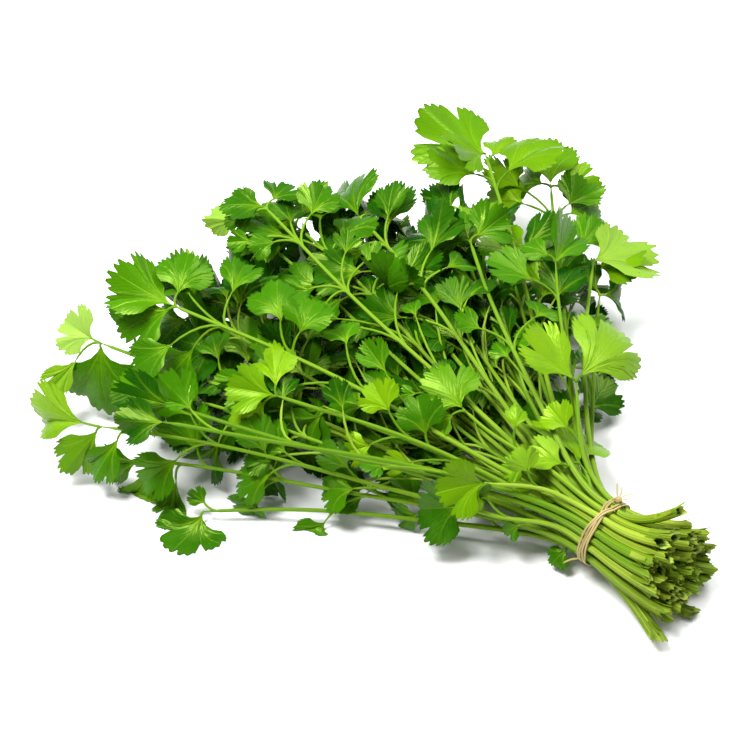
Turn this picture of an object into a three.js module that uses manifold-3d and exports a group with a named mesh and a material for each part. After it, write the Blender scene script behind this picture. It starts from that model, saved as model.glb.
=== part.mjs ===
// A bunch of fresh coriander lying on its side: 55 sprigs, cut across at their butts and tied with raffia.
// Millimetres, +Z up. The sprigs are laid out round the middle of the tie, with the cut ends towards +X and
// the leaves towards -X, and the finished bunch is then moved so that the origin is under the middle of its
// box, on the surface that it lies on.
import * as THREE from "three";
import { mergeVertices } from "three/addons/utils/BufferGeometryUtils.js";
import Module from "manifold-3d";

const wasm = await Module();
wasm.setup();

const degrees = THREE.MathUtils.degToRad;
const UP = new THREE.Vector3(0, 0, 1);

// The bundle where the tie grips it.
const AXIS_HEIGHT = 21; // the bundle's axis above the table
const STALK_PITCH = 3.7; // between the middles of touching stalks
const ROWS_EACH_WAY = 4; // rows of stalks above the axis, and as many below
const GRIPPED = 4.5; // the stalks run straight for this far each side of the tie's middle

// The stalks.
const BUTT_LENGTH = 32.5; // from the tie to the cut ends in the middle of the bundle
const BUTT_STAGGER = 8; // how much further the longest of them reaches
const BUTT_SLANT = 8; // the ends at the bottom are this much longer, and those at the top shorter
const BUTT_SPREAD = 0.62; // share by which the bundle widens from the tie to the cut ends
const BUTT_RISE = 0.3; // and by which it grows higher
const BUTT_SWAY = 7; // how far the cut ends lean to the +Y side
const BUTT_RADIUS = 2.3;
const TIE_RADIUS = 1.62;
const TIP_RADIUS = 0.8;
const STALK_SIDES = 5;
const LOWEST = 2.6; // a stalk's middle line stays this far above the table
const FAN_BEND = 25; // length over which the stalks turn from parallel to their own directions

// The leaflets.
const BLADE = 1; // thickness of a leaflet's solid, which also covers its curl
const TERMINAL_LENGTH = 33;
const LATERAL_LENGTH = 25;
const PETIOLULE = 9; // a side leaflet's own short stalk
const PETIOLULE_WIDTH = 1.6;
const LEAF_CLEARANCE = 1.3; // a leaf's mid-surface stays this far above the table
const LEAF_DROOP = 0.008; // sag of a blade, in mm per square mm along it

// The raffia tie.
const TIE_WIDTH = 5.5;
const TIE_INNER = 15.6;
const TIE_OUTER = 16.9;

// A repeatable number from 0 to 1 for one sprig and one of its features.
function chance(sprig, feature) {
  const x = Math.sin(sprig * 12.9898 + feature * 78.233) * 43758.5453;
  return x - Math.floor(x);
}

// The fan of the stalks, by their place under the tie.
const FAN_MIDDLE = degrees(8); // the fan's middle leans this far from -X towards +Y
const FAN_SWING = degrees(45); // and its sides this far either way
const REACH = 205; // from the tie to the tips in the middle of the fan
const RIM_SHORTER = 34; // and this much less at the fan's sides
const RIM_SHIFT = 0.2; // the longest stalks stand this share of the fan to the -Y side of its middle
const LOWEST_TIP = 15; // height of the tips of the bottom row
const TIP_RISE = 32; // from the bottom row's tips to the middle row's, and on to the top row's
const RIM_LOWER = 10; // the tips at the fan's sides are this much lower
const SHORT_SPRIGS = 0.33; // share of the sprigs that are short ones
const BENT = 14; // the most that a stalk's tip bends from one side to the other
const NODDING = 10; // and the most that it nods
const TURNED = 70; // degrees over which the leaves' faces are turned about their stalks
const HEADED = 50; // degrees over which the tip leaflets point aside
const UNEVEN = 0.07; // how far, per mm along, a stalk strays from an even fan

// Sprigs whose place is chosen by hand, by their row under the tie (from the bottom, -4, to the top, 4) and
// their place in that row (0 nearest -Y). tip is where the stalk ends, from the table under the tie, and
// stray is how far its cut end strays from the others towards +Y and +Z.
const PLACED = [
  { row: 2, place: 5, tip: [-178, 124, 62], bend: 0, nod: 6, turn: -10, heading: 60, size: 1.25 },
  { row: 2, place: 6, tip: [-100, 84, 62], bend: 0, nod: 2, turn: 10, heading: 0, size: 1.15 },
  { row: 3, place: 5, tip: [-47, 33, 54], bend: 0, nod: 0, turn: 0, heading: -10, size: 1.25 },
  { row: 0, place: 6, tip: [-150, 143, 48], bend: 0, nod: 2, turn: -20, heading: -20, size: 1.1 },
  { row: 1, place: 7, tip: [-98, 111, 46], bend: 16, nod: 6, turn: 10, heading: -50, size: 1.15 },
  { row: -1, place: 7, tip: [-88, 107, 34], bend: 6, nod: 0, turn: 20, heading: -10, size: 0.7 },
  { row: -2, place: 6, tip: [-53, 54, 14], bend: 4, nod: 0, turn: -20, heading: 20, size: 0.8 },
  { row: 4, place: 2, tip: [-137, 64, 66], bend: 4, nod: 2, turn: 10, heading: 20, size: 1.1, stray: [7, 7] },
  { row: 3, place: 3, tip: [-187, 41, 66], bend: 0, nod: 8, turn: -15, heading: 0, size: 1.1 },
  { row: 2, place: 3, tip: [-205, 19, 62], bend: 0, nod: 6, turn: 20, heading: 20, size: 1.05 },
  { row: 3, place: 2, tip: [-215, 4, 76], bend: 0, nod: 2, turn: 30, heading: -10, size: 0.9 },
  { row: 1, place: 3, tip: [-226, 2, 54], bend: -6, nod: 4, turn: -30, heading: 10, size: 1.1 },
  { row: 3, place: 1, tip: [-199, -60, 70], bend: -4, nod: 4, turn: 15, heading: 10, size: 1.15 },
  { row: -1, place: 1, tip: [-222, -83, 42], bend: -4, nod: 4, turn: -10, heading: 15, size: 1.2 },
  { row: -1, place: 0, tip: [-189, -117, 34], bend: -4, nod: 4, turn: 20, heading: 20, size: 1.1 },
  { row: -3, place: 0, tip: [-140, -102, 6], bend: -20, nod: 0, turn: 15, heading: 10, size: 0.9, stray: [-8, 0] },
  { row: -2, place: 0, tip: [-172, -110, 18], bend: -8, nod: 6, turn: -20, heading: -10, size: 1 },
  { row: 2, place: 1, tip: [-139, -61, 54], bend: -4, nod: 4, turn: 10, heading: 10, size: 1.0 },
  { row: 1, place: 1, tip: [-124, -46, 46], bend: -4, nod: 4, turn: -20, heading: 70, size: 1.2 },
  { row: 1, place: 0, tip: [-51, -36, 26], bend: 0, nod: 0, turn: -20, heading: 40, size: 0.9 },
  { row: 4, place: 0, tip: [-45, -27, 42], bend: 0, nod: 0, turn: -20, heading: 10, size: 0.85 },
  { row: 4, place: 1, tip: [-76, -8, 50], bend: 0, nod: 0, turn: 10, heading: 0, size: 0.85 },
  { row: 3, place: 4, tip: [-25, 13, 35], bend: 0, nod: 0, turn: 10, heading: 30, size: 0.8 },
];

// The hexagonal packing of the stalks under the tie, without its six corners.
function packing() {
  const places = [];
  for (let row = -ROWS_EACH_WAY; row <= ROWS_EACH_WAY; row++) {
    const full = 2 * ROWS_EACH_WAY + 1 - Math.abs(row);
    const trimmed = row === 0 || Math.abs(row) === ROWS_EACH_WAY ? 1 : 0;
    for (let place = trimmed; place < full - trimmed; place++)
      places.push({
        row,
        place: place - trimmed,
        y: (place - (full - 1) / 2) * STALK_PITCH,
      });
  }
  return places;
}

// How far a stalk's sideways travel has grown at a distance from the tie: none under it, then a soft bend
// into a straight line.
function fanned(distance) {
  const beyond = Math.max(0, distance - GRIPPED);
  return Math.sqrt(beyond * beyond + FAN_BEND * FAN_BEND) - FAN_BEND;
}

// Where a sprig goes. Its direction follows its place under the tie, so that no two stalks cross, and a
// third of the sprigs are short. One in PLACED ends where it is told to.
function planSprig(spot, number) {
  const above = spot.row / ROWS_EACH_WAY;
  const across = (spot.y / (ROWS_EACH_WAY * STALK_PITCH)) * (1 + 0.8 * above * above);
  const placed = PLACED.find((p) => p.row === spot.row && p.place === spot.place);
  const swing = FAN_MIDDLE + FAN_SWING * across;
  const reach = (REACH - RIM_SHORTER * (across + RIM_SHIFT) ** 2) * Math.cos(swing);
  const height = LOWEST_TIP + TIP_RISE * (1 + above) - RIM_LOWER * across * across;
  const short =
    chance(number, 2) < SHORT_SPRIGS ? 0.45 + 0.35 * chance(number, 3) : 0.9 + 0.18 * chance(number, 4);
  const length = placed ? -placed.tip[0] : reach * short;
  const bend = placed ? placed.bend : BENT * (chance(number, 7) - 0.5) * short;
  const nod = placed ? placed.nod : NODDING * chance(number, 8) * short;
  const start = new THREE.Vector3(0, spot.y, AXIS_HEIGHT + (spot.row * STALK_PITCH * Math.sqrt(3)) / 2);
  const grown = fanned(length);
  const slopeY = placed
    ? (placed.tip[1] - bend - start.y) / grown
    : Math.tan(swing) + UNEVEN * (chance(number, 1) - 0.5);
  const slopeZ = placed
    ? (placed.tip[2] + nod - start.z) / grown
    : (height - start.z) / fanned(reach) + UNEVEN * (chance(number, 5) - 0.5);
  return {
    number,
    start,
    length,
    slopeY,
    slopeZ,
    bend,
    nod,
    butt: BUTT_LENGTH + BUTT_STAGGER * chance(number, 6) - BUTT_SLANT * above,
    stray: placed?.stray ?? [0, 0],
    turn: degrees(placed ? placed.turn : TURNED * (chance(number, 9) - 0.5)),
    heading: degrees(placed ? placed.heading : HEADED * (chance(number, 12) - 0.5)),
    size: placed ? placed.size : 0.8 + 0.35 * chance(number, 10),
    lowerPair: chance(number, 11) < 0.5 && length > 110,
  };
}

// A stalk's middle line. Its stations are on planes that all the stalks share, close together where they
// bend.
class StalkLine {
  constructor(plan) {
    this.plan = plan;
    this.planes = [-plan.butt, -plan.butt / 2, -GRIPPED, GRIPPED, 16, 30];
    for (let plane = 50; plane < plan.length - 8; plane += 30) this.planes.push(plane);
    this.planes.push(plan.length);
  }

  at(distance) {
    const { start, length, slopeY, slopeZ, bend, nod, stray } = this.plan;
    if (distance < 0) {
      const away = Math.max(0, -distance - GRIPPED) / BUTT_LENGTH;
      const spread = start.y * (1 + BUTT_SPREAD * away ** 1.5) + (BUTT_SWAY + stray[0]) * away ** 2;
      const rise = (start.z - AXIS_HEIGHT) * (1 + BUTT_RISE * away ** 1.5) + stray[1] * away ** 2;
      return new THREE.Vector3(-distance, spread, AXIS_HEIGHT + rise);
    }
    const along = distance / length;
    const y = start.y + slopeY * fanned(distance) + bend * along ** 2;
    const z = start.z + slopeZ * fanned(distance) - nod * along ** 4;
    return new THREE.Vector3(-distance, y, Math.max(z, LOWEST));
  }
}

// A frame on a stalk: its direction, the leaf's face normal turned about it, and the way across.
function leafFrame(line, distance, turn) {
  const step = 2;
  const base = line.at(distance);
  const along = base.clone().sub(line.at(distance - step)).normalize();
  const level = UP.clone().addScaledVector(along, -UP.dot(along)).normalize();
  const normal = level.applyAxisAngle(along, turn);
  return { base, along, normal, across: new THREE.Vector3().crossVectors(normal, along) };
}

// A closed geometry as a manifold solid.
function solidOf(geometry) {
  const bare = geometry.clone();
  bare.deleteAttribute("normal");
  bare.deleteAttribute("uv");
  const merged = mergeVertices(bare, 1e-3);
  const mesh = new wasm.Mesh({
    numProp: 3,
    vertProperties: merged.attributes.position.array,
    triVerts: new Uint32Array(merged.index.array),
  });
  return new wasm.Manifold(mesh);
}

function geometryOf(solid) {
  const { vertProperties, triVerts } = solid.getMesh();
  const geometry = new THREE.BufferGeometry();
  geometry.setAttribute("position", new THREE.BufferAttribute(new Float32Array(vertProperties), 3));
  geometry.setIndex(new THREE.BufferAttribute(new Uint32Array(triVerts), 1));
  geometry.computeVertexNormals();
  return geometry;
}

function overlaps(a, b) {
  return a.intersect(b).volume() > 0;
}

// A stalk: a cylinder bent along its line, thick at the butt and thin at the tip.
function stalkSolid(line) {
  const segments = line.planes.length - 1;
  const tube = new THREE.CylinderGeometry(1, 1, 1, STALK_SIDES, segments);
  const position = tube.attributes.position;
  for (let i = 0; i < position.count; i++) {
    const station = Math.round((position.getY(i) + 0.5) * segments);
    const distance = line.planes[station];
    const middle = line.at(distance);
    const ahead = line.at(distance + 1).sub(line.at(distance - 1)).normalize();
    const side = new THREE.Vector3().crossVectors(ahead, UP).normalize();
    const over = new THREE.Vector3().crossVectors(side, ahead);
    const share = Math.max(0, distance / line.plan.length);
    const radius =
      distance < 0
        ? THREE.MathUtils.lerp(TIE_RADIUS, BUTT_RADIUS, Math.max(0, -distance - GRIPPED) / BUTT_LENGTH)
        : THREE.MathUtils.lerp(TIE_RADIUS, TIP_RADIUS, share);
    middle.addScaledVector(side, position.getX(i) * radius);
    middle.addScaledVector(over, position.getZ(i) * radius);
    position.setXYZ(i, middle.x, middle.y, middle.z);
  }
  return solidOf(tube);
}

// A side leaflet's outline on its short stalk, and the three-lobed leaflet at the stalk's end. x runs from
// the base to the margin.
function lateralOutline(size) {
  const blade = LATERAL_LENGTH * size;
  const half = PETIOLULE_WIDTH / 2;
  return new THREE.Shape([
    new THREE.Vector2(0, -half),
    new THREE.Vector2(PETIOLULE, -half),
    new THREE.Vector2(PETIOLULE + 0.5 * blade, -0.46 * blade),
    new THREE.Vector2(PETIOLULE + 0.95 * blade, -0.26 * blade),
    new THREE.Vector2(PETIOLULE + 0.95 * blade, 0.26 * blade),
    new THREE.Vector2(PETIOLULE + 0.5 * blade, 0.46 * blade),
    new THREE.Vector2(PETIOLULE, half),
    new THREE.Vector2(0, half),
  ]);
}

function terminalOutline(size) {
  const blade = TERMINAL_LENGTH * size;
  const half = PETIOLULE_WIDTH / 2;
  const lobes = [
    [0.3, 0.5],
    [0.62, 0.62],
    [0.7, 0.26],
    [1, 0.2],
  ];
  const right = lobes.map(([x, y]) => new THREE.Vector2(x * blade, -y * blade));
  const left = lobes.map(([x, y]) => new THREE.Vector2(x * blade, y * blade)).reverse();
  return new THREE.Shape([new THREE.Vector2(-2, -half), ...right, ...left, new THREE.Vector2(-2, half)]);
}

// An outline laid in a leaf frame, pointing heading away from the stalk in the leaf's plane, sagging under
// its weight and kept off the table.
function leafletSolid(outline, frame, heading) {
  const blade = new THREE.ExtrudeGeometry(outline, { depth: BLADE, bevelEnabled: false });
  const forward = frame.along.clone().applyAxisAngle(frame.normal, heading);
  const across = new THREE.Vector3().crossVectors(frame.normal, forward);
  const position = blade.attributes.position;
  for (let i = 0; i < position.count; i++) {
    const x = position.getX(i);
    const middle = frame.base.clone().addScaledVector(forward, x);
    middle.addScaledVector(across, position.getY(i));
    middle.z = Math.max(LEAF_CLEARANCE, middle.z - LEAF_DROOP * x * x);
    middle.addScaledVector(frame.normal, position.getZ(i) - BLADE / 2);
    position.setXYZ(i, middle.x, middle.y, middle.z);
  }
  return solidOf(blade);
}

// The tie: a flat band of raffia round the bundle, with a knot on top and two loose ends.
function tieSolid() {
  const profile = [
    [TIE_INNER, -TIE_WIDTH / 2],
    [TIE_OUTER, -TIE_WIDTH / 2],
    [TIE_OUTER, TIE_WIDTH / 2],
    [TIE_INNER, TIE_WIDTH / 2],
    [TIE_INNER, -TIE_WIDTH / 2],
  ];
  const band = new THREE.LatheGeometry(
    profile.map(([r, x]) => new THREE.Vector2(r, x)),
    32,
  );
  band.rotateZ(-Math.PI / 2);
  const knot = new THREE.SphereGeometry(3.2, 8, 6);
  knot.scale(1.3, 1.2, 0.7);
  const knotAngle = degrees(28);
  const top = new THREE.Vector3(0, Math.sin(knotAngle), Math.cos(knotAngle)).multiplyScalar(TIE_OUTER);
  knot.rotateX(-knotAngle).translate(top.x, top.y, top.z);
  const ends = [
    [8, 4, 4],
    [-8, 6, 3],
  ].map(([x, y, z]) => {
    const run = new THREE.LineCurve3(top, top.clone().add(new THREE.Vector3(x, y, z)));
    const strip = new THREE.Shape([
      new THREE.Vector2(-0.3, -0.8),
      new THREE.Vector2(0.3, -0.8),
      new THREE.Vector2(0.3, 0.8),
      new THREE.Vector2(-0.3, 0.8),
    ]);
    return new THREE.ExtrudeGeometry(strip, { steps: 1, extrudePath: run, bevelEnabled: false });
  });
  const pieces = [band, knot, ...ends].map((g) => solidOf(g.translate(0, 0, AXIS_HEIGHT)));
  return pieces.reduce((whole, piece) => whole.add(piece));
}

const plans = packing().map((spot, i) => planSprig(spot, i + 1));
const lines = plans.map((plan) => new StalkLine(plan));
const tie = tieSolid();
const stalks = lines.map(stalkSolid);
const sprigs = [...stalks];

// A leaflet that would touch a neighbour is made smaller, and left out where even a small one would.
function growLeaflet(number, outlineAt, frame, heading) {
  for (const scale of [1, 0.8, 0.6]) {
    const leaflet = leafletSolid(outlineAt(scale * plans[number].size), frame, heading);
    if (leaflet.volume() <= 0) continue;
    const touched = [...sprigs, tie].some((other, i) => i !== number && overlaps(leaflet, other));
    if (!touched) {
      sprigs[number] = sprigs[number].add(leaflet);
      return;
    }
  }
}

lines.forEach((line, number) => {
  const { turn, length, heading } = plans[number];
  growLeaflet(number, terminalOutline, leafFrame(line, length, turn), heading);
});
lines.forEach((line, number) => {
  const { turn, length, lowerPair } = plans[number];
  const pairs = lowerPair ? [0.8, 0.62] : [0.8];
  for (const share of pairs)
    for (const side of [-1, 1])
      growLeaflet(number, lateralOutline, leafFrame(line, length * share, turn), side * degrees(55));
});

const bunch = new THREE.Group();
const leafGreen = new THREE.MeshStandardMaterial({ color: 0x4d9a12, roughness: 0.45, metalness: 0 });
const straw = new THREE.MeshStandardMaterial({ color: 0xc2a562, roughness: 0.7, metalness: 0 });
sprigs.forEach((solid, i) => {
  const mesh = new THREE.Mesh(geometryOf(solid), leafGreen);
  mesh.name = `sprig_${String(i + 1).padStart(2, "0")}`;
  bunch.add(mesh);
});
const tieMesh = new THREE.Mesh(geometryOf(tie), straw);
tieMesh.name = "raffia_tie";
bunch.add(tieMesh);

const extent = new THREE.Box3().setFromObject(bunch);
const middle = extent.getCenter(new THREE.Vector3());
bunch.position.set(-middle.x, -middle.y, -extent.min.z);

export default bunch;
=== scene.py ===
# A bunch of fresh coriander lying on its side: sprigs tied with raffia near their cut ends.
import math

import bpy
import numpy as np
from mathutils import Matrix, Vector
from mathutils.bvhtree import BVHTree


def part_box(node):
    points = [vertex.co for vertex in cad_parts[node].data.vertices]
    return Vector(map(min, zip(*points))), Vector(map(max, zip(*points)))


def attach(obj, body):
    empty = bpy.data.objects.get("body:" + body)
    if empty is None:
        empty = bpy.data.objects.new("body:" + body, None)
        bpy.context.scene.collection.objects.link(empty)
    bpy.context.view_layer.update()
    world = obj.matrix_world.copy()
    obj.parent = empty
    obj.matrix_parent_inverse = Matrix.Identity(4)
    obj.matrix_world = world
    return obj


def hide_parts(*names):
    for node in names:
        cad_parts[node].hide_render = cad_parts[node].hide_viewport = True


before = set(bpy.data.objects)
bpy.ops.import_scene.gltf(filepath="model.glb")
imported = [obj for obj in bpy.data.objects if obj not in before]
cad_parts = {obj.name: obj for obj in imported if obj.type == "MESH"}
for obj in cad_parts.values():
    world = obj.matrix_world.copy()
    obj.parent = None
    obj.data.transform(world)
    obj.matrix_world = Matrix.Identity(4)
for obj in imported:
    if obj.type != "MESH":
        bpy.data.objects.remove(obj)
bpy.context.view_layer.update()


# ---- The table, the light and the camera ---------------------------------------------------------
# The bunch lies on a plain white table under soft daylight. The point of the table under the middle of
# the tie's band is where everything is measured from: x along the bundle, y across it, z up.

AXIS_HEIGHT = 0.021          # the bundle's axis above the table, where the tie grips it
TIE_OUTER = 0.0169           # the tie's outer radius

tie_low, tie_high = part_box("raffia_tie")
FOOT = np.array([
    (tie_low.x + tie_high.x) / 2,
    (tie_low.y + tie_high.y) / 2,
    tie_low.z + TIE_OUTER - AXIS_HEIGHT,
])

AIM = FOOT + (-0.132, -0.010, 0.037)
CAMERA_TURN = math.radians(44)
CAMERA_RISE = math.radians(45)
CAMERA_AWAY = 0.8
CAMERA_LENS = 85             # in mm, for a film 36 mm wide
CAMERA_FILM = 36


def look_from(turn, rise):
    """The unit vector from what is looked at to the eye: turn goes round from -Y to +X, rise is up."""
    return np.array([
        math.sin(turn) * math.cos(rise),
        -math.cos(turn) * math.cos(rise),
        math.sin(rise),
    ])


def aimed(thing, place, aim):
    """Puts a camera or light at a place and turns its -Z axis at the aim."""
    thing.location = Vector(place)
    thing.rotation_euler = (Vector(aim) - Vector(place)).to_track_quat("-Z", "Y").to_euler()
    bpy.context.scene.collection.objects.link(thing)
    return thing


lens = bpy.data.cameras.new("camera")
lens.lens = CAMERA_LENS
lens.sensor_width = CAMERA_FILM
TO_EYE = look_from(CAMERA_TURN, CAMERA_RISE)
camera = aimed(bpy.data.objects.new("camera", lens), AIM + CAMERA_AWAY * TO_EYE, AIM)
bpy.context.scene.camera = camera
bpy.context.scene.view_settings.view_transform = "Standard"

LAMPS = (                    # turn, rise, distance, size, watts
    (math.radians(-40), math.radians(68), 0.9, 0.35, 14),
    (math.radians(170), math.radians(60), 1.0, 0.6, 10),
)
for number, (turn, rise, away, size, watts) in enumerate(LAMPS):
    lamp = bpy.data.lights.new(f"lamp_{number}", "AREA")
    lamp.size = size
    lamp.energy = watts
    aimed(bpy.data.objects.new(f"lamp_{number}", lamp), AIM + away * look_from(turn, rise), AIM)

SKY_WHITE = (1, 1, 1, 1)
SKY_STRENGTH = 0.32
sky = bpy.data.worlds.new("sky")
sky.use_nodes = True
sky.node_tree.nodes["Background"].inputs["Color"].default_value = SKY_WHITE
sky.node_tree.nodes["Background"].inputs["Strength"].default_value = SKY_STRENGTH
bpy.context.scene.world = sky

TABLE_SIDE = 3.0
TABLE_WHITE = (0.9, 0.9, 0.9, 1)
TABLE_ROUGH = 0.9
half = TABLE_SIDE / 2
corners = [(-half, -half, 0), (half, -half, 0), (half, half, 0), (-half, half, 0)]
table_mesh = bpy.data.meshes.new("table")
table_mesh.from_pydata(corners, [], [(0, 1, 2, 3)])
table = bpy.data.objects.new("table", table_mesh)
bpy.context.scene.collection.objects.link(table)
table_paint = bpy.data.materials.new("table")
table_paint.use_nodes = True
table_paint.node_tree.nodes["Principled BSDF"].inputs["Base Color"].default_value = TABLE_WHITE
table_paint.node_tree.nodes["Principled BSDF"].inputs["Roughness"].default_value = TABLE_ROUGH
table_mesh.materials.append(table_paint)


# ---- The coriander sprigs ------------------------------------------------------------------------
# Each sprig grew as one piece: a ribbed green stalk, hollow and torn at its cut end, that carries lobed,
# toothed leaflets on thin stalks of their own. The sprigs are held by the tie alone, packed like the
# cells of a honeycomb, and fan out from it. Those that stand out of the fan are placed one by one.

MM = 0.001
STALK_PITCH = 0.0037         # between neighbouring stalks under the tie
ROWS_EACH_WAY = 4            # rows of stalks above the middle one, and below it
GRIPPED = 0.0045             # half the length of stalk that the tie keeps straight
LOWEST = 0.0026              # a stalk's middle line is at least this far above the table
UNEVEN = 0.07                # how much the sprigs' slopes differ by chance

BUTT_LENGTH = 0.0325         # from the tie's middle to the shortest cut ends in the bundle's middle
BUTT_STAGGER = 0.008         # how much longer the others are by chance
BUTT_SLANT = 0.008           # how much longer the lowest row is than the middle one
BUTT_SKEW = 0.0028           # how much longer the near side is than the middle
BUTT_SPREAD = 0.62           # how much further apart the stalks are at their cut ends, across
BUTT_RISE = 0.3              # the same, downwards from the axis
BUTT_TOP_RISE = 0.68         # the same, upwards from it
BUTT_FLARE = 1.5             # the power of the distance that they part with
BUTT_SWAY = 0.007            # how far all the cut ends bend to the far side
BUTT_JOSTLE = 0.0011         # how far each one is out of line by chance

FAN_BEND = 0.025             # the length over which a stalk turns outward
FAN_MIDDLE = math.radians(8)
FAN_SWING = math.radians(45)
FAN_FLARE = 0.8              # how much more the top and bottom rows swing aside
REACH = 0.205                # the fan's radius
REACH_FALL = 0.034           # how much less it is at the sides
REACH_LEAN = 0.2             # how far its longest part is off its middle
CROWN_LOW = 0.015            # the height of the lowest row's tips
CROWN_RISE = 0.032           # how much higher the middle row's are, and the top row's again
CROWN_FALL = 0.010           # how much lower they are at the fan's sides
SHORT_ONES = 0.33            # the share of sprigs that are much shorter

# for what chance decides: its least value and its range
SHORT = (0.45, 0.35)
LONG = (0.9, 0.18)
SIZES = (0.85, 0.35)
MOST_BEND = 0.014
MOST_NOD = 0.010
MOST_TURN = math.radians(70)
MOST_HEADING = math.radians(50)
MOST_TINT = 0.36
TINT_POWER = 1.9             # most of them are near the deep end: their own deep green, with painted shade for the inside of the crown
WANDER = 0.0028              # how far a stalk strays from its curve, in waves
WAVES = 7                    # radians of them along its length
ANY_PHASE = 6.3
FULL_FROM = 0.1              # sprigs longer than this carry the full set of leaves

# (row, place): tip in mm from the foot, bend, nod, turn, heading, size, stray of the cut end, leaves,
# tint from 0 deep green over 1 yellow-green to 2 pale
PLACED = {
    (2, 5): ((-178, 124, 62), 0, 6, -10, 48, 1.7, (0, 0), "wide", 0.8),
    (2, 6): ((-100, 84, 62), 0, 2, 10, -15, 1.15, (0, 0), "pair", 0.62),
    (3, 5): ((-47, 33, 54), 0, 0, 0, 0, 1.65, (0, 0), "fork", 1.02),
    (0, 6): ((-150, 143, 48), 0, 2, -20, 5, 1.2, (0, 0), "all", 0.75),
    (1, 7): ((-98, 111, 46), 16, 6, -10, -62, 1.3, (0, 0), "broad", 1.25),
    (-1, 7): ((-88, 107, 34), 6, 0, 20, -10, 0.8, (0, 0), "two", 0.1),
    (-2, 6): ((-53, 54, 14), 4, 0, -20, 20, 0.9, (0, 0), "two", 0.15),
    (4, 2): ((-137, 64, 66), 4, 2, 10, 20, 0.9, (9, 17), "three", 0.45),
    (3, 3): ((-187, 41, 66), 0, 8, -15, -18, 1.25, (0, 0), "all", 0.2),
    (2, 3): ((-208, 17, 62), 0, 6, 20, 20, 1.1, (0, 0), "all", 0.35),
    (3, 2): ((-215, 4, 76), 0, 2, 30, 25, 0.75, (0, 0), "all", 0.3),
    (1, 3): ((-230, 4, 54), -6, 4, -30, 0, 0.9, (0, 0), "pale", 1.45),
    (3, 1): ((-203, -63, 68), -4, 4, 15, 8, 1.2, (0, 0), "all", 0.55),
    (-1, 1): ((-229, -86, 42), -4, 4, -10, 0, 1.05, (0, 0), "crook", 0.35),
    (-1, 0): ((-194, -117, 34), -4, 4, 20, 0, 1.1, (0, 0), "hand", 0.6),
    (-3, 0): ((-143, -104, 6), -20, 0, 15, 10, 0.75, (-8, 0), "under", 0.35),
    (-2, 0): ((-175, -110, 18), -8, 6, -20, 0, 1.0, (0, 0), "hang", 0.5),
    (2, 1): ((-139, -61, 54), -4, 4, 10, 0, 0.95, (0, 0), "three", 0.9),
    (1, 1): ((-124, -46, 46), -4, 4, -20, 60, 1.1, (0, 0), "low", 0.5),
    (1, 0): ((-51, -36, 26), 0, 0, -20, 15, 0.8, (0, 0), "low", 0.3),
    (4, 0): ((-45, -27, 42), 0, 0, -20, 10, 0.75, (0, 0), "low", 0.85),
    (4, 1): ((-76, -8, 50), 0, 0, 10, 0, 0.85, (0, 0), "low", 0.75),
    (3, 4): ((-25, 13, 35), 0, 0, 10, 20, 1.4, (0, 0), "two", 1.0),
}

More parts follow.
